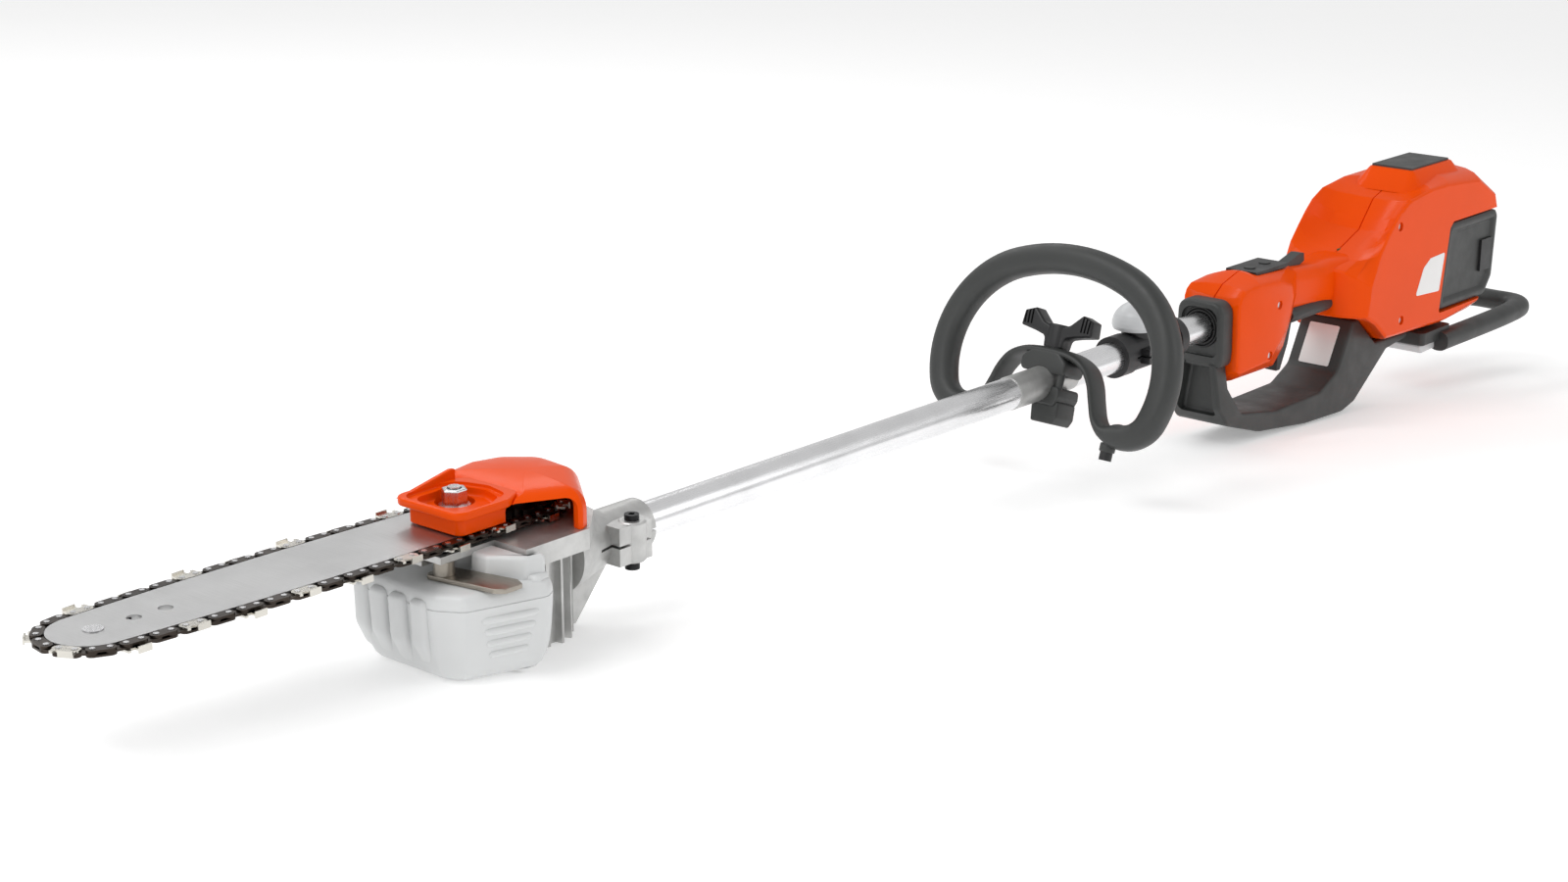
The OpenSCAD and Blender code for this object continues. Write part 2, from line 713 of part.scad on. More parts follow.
module throttle_trigger() color(black) difference() {
    side_slab([[799, -9], [808, -8], [824, -20], [819, -40], [808, -62], [802, -62], [804, -40],
        [796, -20]], -5.5, 5.5);
    yrod(pivot_r + RUN, -6, 6, trigger_pivot[0], trigger_pivot[1]);
}

module control_board() color([0.1, 0.35, 0.15]) {
    span([908, -1, -20], [990, 1, 28]);
    span([924, 1.1, 0], [960, 14, 28]);
}

module grip_insert() color(grey) difference() {
    xrod(11, 829, 863, 0, -11);
    span([820, -30, -8.1], [880, 30, 10]);
}

module top_panel() color(black) span([998.2, -20, 80], [1067.8, 20, 90]);

module battery_pack() color(grey) difference() {
    span([1012, -43, -49], [1128, 43, 41]);
    for (side = [-1, 1]) span([1099.7, side * 41 - 4.2, -20.3], [1124.3, side * 41 + 4.2, 10.3]);
}

module battery_latch(side) {
    span([1100, side * 42.2 - 1.8, -20], [1124, side * 42.2 + 1.8, 10]);
}

module battery_latch_left() color(black) battery_latch(-1);

module battery_latch_right() color(black) battery_latch(1);

module tube_seal() color(black) difference() {
    union() {
        xrod(17.2, 698, 705.8);
        xrod(16, 690, 698.1);
        xrod(14.6, 684, 690.1);
    }
    xrod(tube_r + SNUG, 680, 710);
}

GUARD_OUTER = [[680, -30], [680, -68], [692, -83], [745, -101], [823, -111], [887, guard_low],
    [906, -109], [962, -71], [1000, -67], [940, -60], [906, -31.5], [897, -31.5], [874, -74],
    [846, -87], [771, -87], [715, -76], [704, -62], [697.6, -53], [697.6, -30]];

module hand_guard() color(grey) difference() {
    union() {
        difference() {
            side_slab(GUARD_OUTER, -guard_half_w, guard_half_w);
            // front leg, narrowing towards the top
            for (side = [-1, 1]) translate([670, 0, 0]) rotate([90, 0, 90]) linear_extrude(27.7)
                polygon([[side * 18, -29], [side * 30, -29], [side * 30, -74]]);
        }
        span([681, -22, -46], [697.8, 22, 22]);
        span([697, -seat_half_w, -46], [705.9, seat_half_w, 20]);
    }
    // channel in the front leg, open to the front
    span([670, -15, -75], [692, 15, -24]);
    xrod(17.3, 697.9, 720);
    xrod(16.1, 670, 700);
}

module rear_loop() color(grey) {
    for (side = [-1, 1]) xrod(9, 1040, 1206, side * 36, -77);
    yrod(9, -18, 18, 1224, -77);
    for (side = [-1, 1]) translate([1206, side * 18, -77])
        rotate([0, 0, side < 0 ? -90 : 0]) rotate_extrude(angle = 90) translate([18, 0]) circle(9);
    span([1010, -40, -76], [1060, 40, -66.3]);
}

motor_housing();
motor_cover();
motor_cover_screws();
stator();
rotor();
rotor_bearings();
pump_worm();
oil_pump();
pump_gear();
drive_sprocket();
sprocket_clip();
bar_stud();
guide_bar();
nose_sprocket();
nose_rivets();
tension_pin();
tension_screw();
chain_drive_links();
chain_tie_straps();
chain_cutters();
chain_rivets();
sprocket_cover();
bar_nut();
oil_tank();
oil_cap();
oil_pickup();
branch_hook();
hook_spacer();
hook_screw();
clamp_screw();
clamp_nut();
cable_gland();
outer_tube();
inner_tube();
slide_bush();
pole_cable();
telescope_collar();
collar_knob();
loop_handle();
handle_saddle();
handle_liner();
handle_knob();
handle_stud();
tube_seal();
hand_guard();
housing_left();
housing_right();
housing_screws();
keypad_panel();
power_button();
mode_button();
trigger_lock();
throttle_trigger();
control_board();
grip_insert();
top_panel();
battery_pack();
battery_latch_left();
battery_latch_right();
rear_loop();
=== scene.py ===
# Looks of the telescoping pole saw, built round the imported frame.
# Shapes are written in millimetres in the frame's axes: X along the pole, Z up, Y to the far side.
import json
import math

import bmesh
import bpy
from mathutils import Matrix, Vector


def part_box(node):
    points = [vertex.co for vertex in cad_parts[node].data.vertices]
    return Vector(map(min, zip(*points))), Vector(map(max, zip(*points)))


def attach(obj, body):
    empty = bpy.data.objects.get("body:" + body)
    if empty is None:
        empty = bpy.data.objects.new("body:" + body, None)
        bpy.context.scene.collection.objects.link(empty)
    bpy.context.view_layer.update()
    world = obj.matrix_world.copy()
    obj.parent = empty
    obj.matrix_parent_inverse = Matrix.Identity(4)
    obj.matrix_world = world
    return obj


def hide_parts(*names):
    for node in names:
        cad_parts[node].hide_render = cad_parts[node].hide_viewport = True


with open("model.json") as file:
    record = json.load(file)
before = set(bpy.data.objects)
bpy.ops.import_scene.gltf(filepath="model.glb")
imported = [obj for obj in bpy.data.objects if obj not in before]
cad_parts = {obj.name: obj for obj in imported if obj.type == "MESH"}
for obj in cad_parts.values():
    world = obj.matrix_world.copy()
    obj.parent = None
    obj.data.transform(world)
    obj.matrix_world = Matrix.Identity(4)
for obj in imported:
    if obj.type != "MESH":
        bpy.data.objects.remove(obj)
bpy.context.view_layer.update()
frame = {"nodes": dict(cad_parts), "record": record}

MM = 0.001
NODES = frame["nodes"]
SLOT_OF = {row["node"]: row["material_slot"] for row in frame["record"]["subparts"]}
HANDLE_X = 466
HANDLE_LEAN = math.radians(20)
SPROCKET = Vector((-103, 8))
BAR_SKEW = math.radians(1.6)
STUD = SPROCKET + 48 * Vector((-math.cos(BAR_SKEW), math.sin(BAR_SKEW)))


# ---------- placing ----------

def side_place(u, v, w):
    """Outline drawn from the side (x, z), thickness along y."""
    return Vector((u, w, v))


def plan_place(u, v, w):
    """Outline drawn from above (x, y), thickness along z."""
    return Vector((u, v, w))


def front_place(u, v, w):
    """Outline drawn from the front (y, z), thickness along x."""
    return Vector((w, u, v))


def lean_place(u, v, w):
    """Outline in the leaning plane of the loop handle (y, up), thickness across it."""
    s, c = math.sin(HANDLE_LEAN), math.cos(HANDLE_LEAN)
    return Vector((HANDLE_X + w * c + v * s, u, v * c - w * s))


# ---------- mesh tools ----------

def piece(name, verts, faces, crease=32):
    """A mesh object from millimetre points, smooth up to a crease angle."""
    mesh = bpy.data.meshes.new(name)
    mesh.from_pydata([Vector(v) * MM for v in verts], [], faces)
    obj = bpy.data.objects.new(name, mesh)
    bpy.context.scene.collection.objects.link(obj)
    tidy(obj, crease)
    return obj


def tidy(obj, crease=32):
    """Welds, turns the faces outwards and sets smooth shading up to the crease angle."""
    bm = bmesh.new()
    bm.from_mesh(obj.data)
    bmesh.ops.remove_doubles(bm, verts=bm.verts, dist=1e-6)
    bmesh.ops.dissolve_degenerate(bm, dist=1e-6, edges=bm.edges)
    bmesh.ops.recalc_face_normals(bm, faces=bm.faces)
    bm.to_mesh(obj.data)
    bm.free()
    obj.data.polygons.foreach_set("use_smooth", [True] * len(obj.data.polygons))
    obj.data.set_sharp_from_angle(angle=math.radians(crease))


def settle(obj, crease=32):
    """Applies the modifiers to the mesh."""
    graph = bpy.context.evaluated_depsgraph_get()
    mesh = bpy.data.meshes.new_from_object(obj.evaluated_get(graph))
    obj.modifiers.clear()
    obj.data = mesh
    tidy(obj, crease)
    return obj


def carve(obj, cutters, crease=32):
    """Cuts the listed closed pieces out of obj and deletes them."""
    return combine(obj, cutters, "DIFFERENCE", crease)


def fuse(obj, others, crease=32):
    """Joins the listed closed pieces to obj."""
    return combine(obj, others, "UNION", crease)


def combine(obj, others, operation, crease):
    for other in others:
        change = obj.modifiers.new("combine", "BOOLEAN")
        change.operation = operation
        change.solver = "EXACT"
        change.object = other
        settle(obj, crease)
        bpy.data.objects.remove(other)
    return obj


def turned_left(points):
    """The outline in counter-clockwise order."""
    area = sum(a[0] * b[1] - b[0] * a[1] for a, b in zip(points, points[1:] + points[:1]))
    return list(points) if area > 0 else list(reversed(points))


def moved_in(points, inset):
    """The corners of an outline after each side moves in by inset."""
    moved = []
    count = len(points)
    for i in range(count):
        before, here, after = (Vector(points[(i + k) % count][:2]) for k in (-1, 0, 1))
        d0, d1 = (here - before).normalized(), (after - here).normalized()
        n0, n1 = Vector((-d0.y, d0.x)), Vector((-d1.y, d1.x))
        moved.append(here + (n0 + n1) * (inset / max(0.35, 1 + n0.dot(n1))))
    return moved


def ring(points, radius, inset=0.0, steps=5):
    """An outline with round corners, moved in by inset; a corner may carry its own radius."""
    corners = moved_in(points, inset)
    count = len(corners)
    out = []
    for i in range(count):
        here = corners[i]
        a, b = corners[i - 1] - here, corners[(i + 1) % count] - here
        own = points[i][2] if len(points[i]) > 2 else radius
        convex = a.cross(b) < 0
        r = max(own - inset if convex else own + inset, 0.3)
        half = a.angle(b) / 2
        if half > math.radians(88):
            out += [here + (a.normalized() * (0.5 - k / steps)) * 0.2 for k in range(steps + 1)]
            continue
        reach = min(r / math.tan(half), 0.47 * a.length, 0.47 * b.length)
        r = reach * math.tan(half)
        centre = here + (a.normalized() + b.normalized()).normalized() * (r / math.sin(half))
        v0, v1 = here + a.normalized() * reach - centre, here + b.normalized() * reach - centre
        turn = v0.angle_signed(v1)
        out += [centre + Matrix.Rotation(-turn * k / steps, 2) @ v0 for k in range(steps + 1)]
    return out


def edge_steps(low, high, low_edge, high_edge, steps=4):
    """Levels of a prism with rounded ends, as (place along the thickness, inset)."""
    quarter = [math.pi / 2 * k / steps for k in range(steps + 1)]
    start = [(low + low_edge * (1 - math.cos(t)), low_edge * (1 - math.sin(t))) for t in quarter]
    end = [(high - high_edge * (1 - math.cos(t)), high_edge * (1 - math.sin(t))) for t in reversed(quarter)]
    return start + end


def prism(name, points, low, high, radius=3, edges=(1, 1), place=side_place, steps=5, crease=32,
          levels=None):
    """A slab with the given outline, its corners and its end edges rounded."""
    outline = turned_left(points)
    levels = levels or edge_steps(low, high, *edges)
    verts, faces = [], []
    for w, inset in levels:
        verts += [place(p.x, p.y, w) for p in ring(outline, radius, inset, steps)]
    n = len(verts) // len(levels)
    for k in range(len(levels) - 1):
        for i in range(n):
            j = (i + 1) % n
            faces.append((k * n + i, k * n + j, (k + 1) * n + j, (k + 1) * n + i))
    faces.append(tuple(range(n)))
    faces.append(tuple(range(len(verts) - n, len(verts))))
    return piece(name, verts, faces, crease)


def skin(name, rings, closed=False, caps=True, crease=40):
    """A surface through rings of equal size."""
    n = len(rings[0])
    verts = [p for r in rings for p in r]
    faces = []
    count = len(rings)
    for k in range(count if closed else count - 1):
        a, b = k * n, (k + 1) % count * n
        faces += [(a + i, a + (i + 1) % n, b + (i + 1) % n, b + i) for i in range(n)]
    if caps and not closed:
        faces += [tuple(range(n)), tuple(range((count - 1) * n, count * n))]
    return piece(name, verts, faces, crease)


def smooth_path(points, per=6, closed=False):
    """A smooth curve through the points, each with any number of values."""
    n = len(points)
    out = []
    for i in range(n if closed else n - 1):
        if closed:
            quad = [points[(i + k) % n] for k in (-1, 0, 1, 2)]
        else:
            quad = [points[min(max(i + k, 0), n - 1)] for k in (-1, 0, 1, 2)]
        for s in range(per):
            t = s / per
            w = (-t ** 3 + 2 * t ** 2 - t, 3 * t ** 3 - 5 * t ** 2 + 2, -3 * t ** 3 + 4 * t ** 2 + t,
                 t ** 3 - t ** 2)
            out.append([sum(a * p[c] for a, p in zip(w, quad)) / 2 for c in range(len(quad[0]))])
    if not closed:
        out.append(list(points[-1]))
    return out


def bar_along(name, path, place, closed=False, sides=20, power=1.0, crease=50):
    """A bar along a flat path; each point is (u, v, half thickness in the plane, half width across)."""
    n = len(path)
    rings = []
    for i, (u, v, r, w) in enumerate(path):
        a, b = (path[(i - 1) % n if closed else max(i - 1, 0)],
                path[(i + 1) % n if closed else min(i + 1, n - 1)])
        t = Vector((b[0] - a[0], b[1] - a[1])).normalized()
        side = Vector((-t.y, t.x))
        one = []
        for k in range(sides):
            angle = 2 * math.pi * k / sides
            c, s = math.cos(angle), math.sin(angle)
            c, s = math.copysign(abs(c) ** power, c), math.copysign(abs(s) ** power, s)
            one.append(place(u + side.x * r * c, v + side.y * r * c, w * s))
        rings.append(one)
    return skin(name, rings, closed=closed, crease=crease)


def lathe(name, profile, axis="x", centre=(0, 0, 0), sides=48, crease=32, closed=False):
    """A turned piece; profile is (place along the axis, radius)."""
    place = {"x": lambda a, c, s: Vector((a, c, s)), "y": lambda a, c, s: Vector((s, a, c)),
             "z": lambda a, c, s: Vector((c, s, a))}[axis]
    rings = []
    for along, r in profile:
        r = max(r, 0.01)
        rings.append([Vector(centre) + place(along, r * math.cos(2 * math.pi * k / sides),
                                             r * math.sin(2 * math.pi * k / sides)) for k in range(sides)])
    return skin(name, rings, closed=closed, caps=not closed, crease=crease)


def rod(name, axis, r, a, b, centre=(0, 0, 0), edge=0.4, sides=40):
    """A plain rod with rounded rims, for cutters and small trim."""
    return lathe(name, [(a, r - edge), (a + edge, r), (b - edge, r), (b, r - edge)], axis, centre, sides)


def box_cut(name, low, high, radius=1.0):
    """A closed block between two corners, for cutting."""
    points = [(low[0], low[2]), (high[0], low[2]), (high[0], high[2]), (low[0], high[2])]
    return prism(name, points, low[1], high[1], radius, (0.01, 0.01), steps=3)


# ---------- materials ----------

def shader(name, colour, roughness, metallic=0.0, coat=0.0, subsurface=0.0, anisotropic=0.0, ior=1.5,
           specular=0.5):
    mat = bpy.data.materials.new(name)
    mat.use_nodes = True
    node = mat.node_tree.nodes["Principled BSDF"]
    node.inputs["Base Color"].default_value = (*colour, 1)
    node.inputs["Roughness"].default_value = roughness
    node.inputs["Metallic"].default_value = metallic
    node.inputs["Coat Weight"].default_value = coat
    node.inputs["Coat Roughness"].default_value = 0.08
    node.inputs["Subsurface Weight"].default_value = subsurface
    node.inputs["Subsurface Radius"].default_value = (0.012, 0.012, 0.012)
    node.inputs["Anisotropic"].default_value = anisotropic
    node.inputs["IOR"].default_value = ior
    node.inputs["Specular IOR Level"].default_value = specular
    return mat, node


def noise(mat, scale, detail=4.0, stretch=(1, 1, 1), roughness=0.55):
    """A noise pattern in the object's own coordinates; scale counts blobs per metre."""
    tree = mat.node_tree
    coords = tree.nodes.new("ShaderNodeTexCoord")
    mapping = tree.nodes.new("ShaderNodeMapping")
    mapping.inputs["Scale"].default_value = stretch
    texture = tree.nodes.new("ShaderNodeTexNoise")
    texture.inputs["Scale"].default_value = scale
    texture.inputs["Detail"].default_value = detail
    texture.inputs["Roughness"].default_value = roughness
    tree.links.new(coords.outputs["Object"], mapping.inputs["Vector"])
    tree.links.new(mapping.outputs["Vector"], texture.inputs["Vector"])
    return texture.outputs["Fac"]


def spread(mat, source, low, high, start=0.3, end=0.7):
    """Maps a pattern to a range of values."""
    node = mat.node_tree.nodes.new("ShaderNodeMapRange")
    for key, value in (("From Min", start), ("From Max", end), ("To Min", low), ("To Max", high)):
        node.inputs[key].default_value = value
    mat.node_tree.links.new(source, node.inputs["Value"])
    return node.outputs["Result"]


def tint(mat, source, first, second, start=0.35, end=0.65):
    """Mixes two colours by a pattern."""
    tree = mat.node_tree
    node = tree.nodes.new("ShaderNodeMix")
    node.data_type = "RGBA"
    node.inputs["A"].default_value = (*first, 1)
    node.inputs["B"].default_value = (*second, 1)
    tree.links.new(spread(mat, source, 0, 1, start, end), node.inputs["Factor"])
    return node.outputs["Result"]


def bumps(mat, sources):
    """Adds surface relief from patterns, each with its depth in metres and strength."""
    tree = mat.node_tree
    normal = None
    for source, depth, strength in sources:
        node = tree.nodes.new("ShaderNodeBump")
        node.inputs["Distance"].default_value = depth
        node.inputs["Strength"].default_value = strength
        tree.links.new(source, node.inputs["Height"])
        if normal:
            tree.links.new(normal, node.inputs["Normal"])
        normal = node.outputs["Normal"]
    tree.links.new(normal, tree.nodes["Principled BSDF"].inputs["Normal"])


def scaled(colour, factor):
    return tuple(min(1.0, c * factor) for c in colour)


def surface(name, colour, roughness, metallic=0.0, grain=900, depth=0.00004, mottle=0.06, stretch=(1, 1, 1),
            worn=0.06, **more):
    """One finished material: slow colour mottling, grain relief and uneven gloss."""
    mat, node = shader(name, colour, roughness, metallic, **more)
    link = mat.node_tree.links.new
    slow = noise(mat, 18, 3)
    fine = noise(mat, grain, 4, stretch)
    smudge = noise(mat, 70, 5)
    link(tint(mat, slow, scaled(colour, 1 - mottle), scaled(colour, 1 + mottle)), node.inputs["Base Color"])
    link(spread(mat, smudge, max(0.02, roughness - worn), roughness + worn), node.inputs["Roughness"])
    bumps(mat, [(fine, depth, 0.5)])
    return mat


def brushed(name, colour, roughness, stretch, grain=2500, depth=0.000012, mottle=0.05, **more):
    """Bare metal with fine lines along one axis."""
    mat, node = shader(name, colour, roughness, 1.0, **more)
    link = mat.node_tree.links.new
    lines = noise(mat, grain, 3, stretch)
    slow = noise(mat, 25, 4)
    link(tint(mat, slow, scaled(colour, 1 - mottle), scaled(colour, 1 + mottle)), node.inputs["Base Color"])
    link(spread(mat, lines, roughness - 0.07, roughness + 0.09), node.inputs["Roughness"])
    bumps(mat, [(lines, depth, 0.45), (slow, 0.0001, 0.05)])
    return mat


def cast_metal():
    """Sand-cast aluminium: soft pits and a satin face."""
    colour = (0.57, 0.57, 0.56)
    mat, node = shader("alloy_cast", colour, 0.42, 0.85)
    link = mat.node_tree.links.new
    pits, slow = noise(mat, 1400, 5), noise(mat, 60, 4)
    link(tint(mat, slow, scaled(colour, 0.88), scaled(colour, 1.1)), node.inputs["Base Color"])
    link(spread(mat, pits, 0.34, 0.52), node.inputs["Roughness"])
    bumps(mat, [(pits, 0.0001, 0.4), (slow, 0.0004, 0.12)])
    return mat


ORANGE = (0.85, 0.076, 0.001)
GREY = (0.034, 0.036, 0.035)
MATERIALS = {
    "alloy_cast": cast_metal(),
    "alloy_polished": brushed("alloy_polished", (0.88, 0.88, 0.89), 0.24, (0.02, 1, 1)),
    "orange_shell": surface("orange_shell", ORANGE, 0.24, grain=350, depth=0.00001, mottle=0.02, worn=0.03,
                            coat=0.03,
                            ior=1.42, specular=0.11),
    "grey_plastic": surface("grey_plastic", GREY, 0.46, grain=2600, depth=0.00005, mottle=0.08),
    "black_plastic": surface("black_plastic", (0.013, 0.013, 0.014), 0.42, grain=2600, depth=0.00005),
    "black_rubber": surface("black_rubber", (0.016, 0.016, 0.016), 0.6, grain=1800, depth=0.00006),
    "white_tank": surface("white_tank", (0.69, 0.70, 0.70), 0.36, grain=420, depth=0.00006, mottle=0.02,
                          subsurface=0.25),
    "bar_steel": brushed("bar_steel", (0.47, 0.47, 0.47), 0.40, (1, 0.02, 1), grain=1800),
    "chain_steel": surface("chain_steel", (0.045, 0.036, 0.030), 0.34, 0.9, grain=1500, mottle=0.3),
    "cutter_steel": surface("cutter_steel", (0.62, 0.60, 0.55), 0.27, 1.0, grain=2600, mottle=0.12),
    "bright_steel": brushed("bright_steel", (0.66, 0.66, 0.67), 0.26, (1, 1, 0.1)),
    "hook_steel": brushed("hook_steel", (0.33, 0.30, 0.26), 0.36, (1, 0.05, 1), grain=900, mottle=0.12),
    "black_steel": surface("black_steel", (0.012, 0.012, 0.013), 0.34, 0.6, grain=2000),
    "motor_copper": surface("motor_copper", (0.42, 0.17, 0.06), 0.35, 1.0, grain=900),
    "green_board": surface("green_board", (0.02, 0.12, 0.04), 0.4, grain=900),
    "knob_grey": surface("knob_grey", (0.62, 0.63, 0.64), 0.34, grain=1800, depth=0.00003, mottle=0.02),
    "label_white": surface("label_white", (0.86, 0.86, 0.85), 0.42, grain=900, depth=0.00001, mottle=0.01),
    "floor": surface("floor", (0.92, 0.92, 0.92), 0.8, grain=300, depth=0.00002, mottle=0.004),
}
FLOOR_SHADER = MATERIALS["floor"].node_tree.nodes["Principled BSDF"]
FLOOR_SHADER.inputs["Emission Color"].default_value = (1, 1, 1, 1)
FLOOR_SHADER.inputs["Emission Strength"].default_value = 0.30


def finish_piece(obj, body, slot, replaces=(), material=None):
    """Gives a new piece its material (the slot's, unless another is named) and its body, and hides the
    nodes that it stands for.
    """
    obj.data.materials.clear()
    obj.data.materials.append(MATERIALS[material or slot])
    if replaces:
        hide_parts(*replaces)
    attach(obj, body)
    return obj


for node_name, node_object in NODES.items():
    node_object.data.materials.clear()
    node_object.data.materials.append(MATERIALS[SLOT_OF[node_name]])


# ---------- stage, light and camera ----------

TANK_FOOT_X, GUARD_FOOT_X = -0.176, 0.85  # metres, where the floor meets each
FLOOR_GAP = 0.0006


def stage():
    """Pale floor, sloping to meet the tank and the guard; the motor's underside dips below it."""
    low_front, low_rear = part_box("oil_tank")[0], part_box("hand_guard")[0]
    slope = (low_rear.z - low_front.z) / (GUARD_FOOT_X - TANK_FOOT_X)
    mesh = bpy.data.meshes.new("floor")
    half = 9.0
    corners = [(-half, -half), (half, -half), (half, half), (-half, half)]
    mesh.from_pydata([(x, y, low_front.z - FLOOR_GAP + slope * (x - TANK_FOOT_X)) for x, y in corners], [],
                     [(0, 1, 2, 3)])
    floor = bpy.data.objects.new("floor", mesh)
    floor.data.materials.append(MATERIALS["floor"])
    bpy.context.scene.collection.objects.link(floor)


def area_light(name, place, aim, size, watts):
    data = bpy.data.lights.new(name, "AREA")
    data.shape = "RECTANGLE"
    data.size, data.size_y = size
    data.energy = watts
    lamp = bpy.data.objects.new(name, data)
    lamp.location = place
    lamp.rotation_euler = (Vector(aim) - Vector(place)).to_track_quat("-Z", "Y").to_euler()
    bpy.context.scene.collection.objects.link(lamp)


def studio():
    area_light("key", (-1.3, 0.5, 2.4), (0.4, 0, 0), (1.8, 1.0), 24)
    area_light("far_strip", (1.0, 2.3, 2.0), (0.6, 0, 0), (3.0, 0.5), 16)
    area_light("near_fill", (1.6, -2.2, 1.3), (0.6, 0, 0), (1.6, 1.4), 9)
    area_light("tip_fill", (-2.2, 0.3, 1.2), (-0.2, 0, 0), (1.2, 1.2), 6)
    world = bpy.data.worlds.new("studio")
    world.use_nodes = True
    world.node_tree.nodes["Background"].inputs["Color"].default_value = (1, 1, 1, 1)
    world.node_tree.nodes["Background"].inputs["Strength"].default_value = 0.60
    bpy.context.scene.world = world
    bpy.context.scene.view_settings.view_transform = "Standard"


def camera():
    data = bpy.data.cameras.new("camera")
    data.lens = 63.1
    data.sensor_width = 36
    data.clip_end = 50
    eye = bpy.data.objects.new("camera", data)
    eye.location = (-1.2364, -1.1911, 0.574)
    eye.rotation_euler = (math.radians(73.2), 0, math.radians(-49.3))
    bpy.context.scene.collection.objects.link(eye)
    bpy.context.scene.camera = eye


stage()
studio()
camera()

# ---------- battery housing, grip and throttle housing ----------

def loft(name, sections, radius, place=side_place, steps=4, crease=32):
    """A solid through outlines of equal corner count, each (place along the thickness, outline, inset)."""
    rings = [[place(p.x, p.y, w) for p in ring(turned_left(points), radius, inset, steps)]
             for w, points, inset in sections]
    return skin(name, rings, crease=crease)


def mixed(first, second, share):
    """The outline part of the way from the first to the second."""
    return [tuple(a + (b - a) * share for a, b in zip(p, q)) for p, q in zip(first, second)]


def both_sides(middle, face, half, turns):
    """Sections from one face over the seam groove to the other, as shares of the way to the face."""
    near = [(-half * along, mixed(middle, face, share), inset) for along, share, inset in turns]
    groove = [(-0.6, middle, 0), (-0.45, middle, 1.4), (0.45, middle, 1.4), (0.6, middle, 0)]
    return near + groove + [(-w, points, inset) for w, points, inset in reversed(near)]


def joined(obj, others):
    """Adds the meshes of the others to obj."""
    bm = bmesh.new()
    bm.from_mesh(obj.data)
    for other in others:
        bm.from_mesh(other.data)
        bpy.data.objects.remove(other)
    bm.to_mesh(obj.data)
    bm.free()
    return obj


BAY_SEAM = [(868, -24), (868, 20), (892, 22), (911, 28), (944, 40), (952, 49), (967, 65), (1005, 77),
            (1036, 82),
            (1090, 80), (1126, 58), (1134, 24), (1130, -20), (1112, -52), (1088, -63), (1038, -63),
            (944, -58),
            (906, -31)]
BAY_FACE = [(884, -24), (888, 4), (901, 30), (913, 43), (925, 55), (936, 64), (954, 72), (991, 76),
            (1023, 76),
            (1085, 71), (1119, 52), (1129, 28), (1126, -12), (1113, -37), (1097, -48), (1038, -54),
            (922, -50),
            (902, -34)]
THROTTLE_SEAM = [(698, -44), (698, 14), (704, 23), (715, 31), (740, 38), (806, 35), (826, 26), (826, 4),
                 (815, -20),
                 (806, -44), (793, -56), (716, -54)]
THROTTLE_FACE = [(699, -38), (699, 20), (702, 26), (708, 30), (731, 32), (764, 30), (785, 23), (789, 12),
                 (785, -4),
                 (776, -20), (754, -40), (706, -42)]
WINDOW = [(1021, -43), (1033, 30), (1039, 36), (1124, 36), (1129, 30), (1125, -28), (1112, -44)]


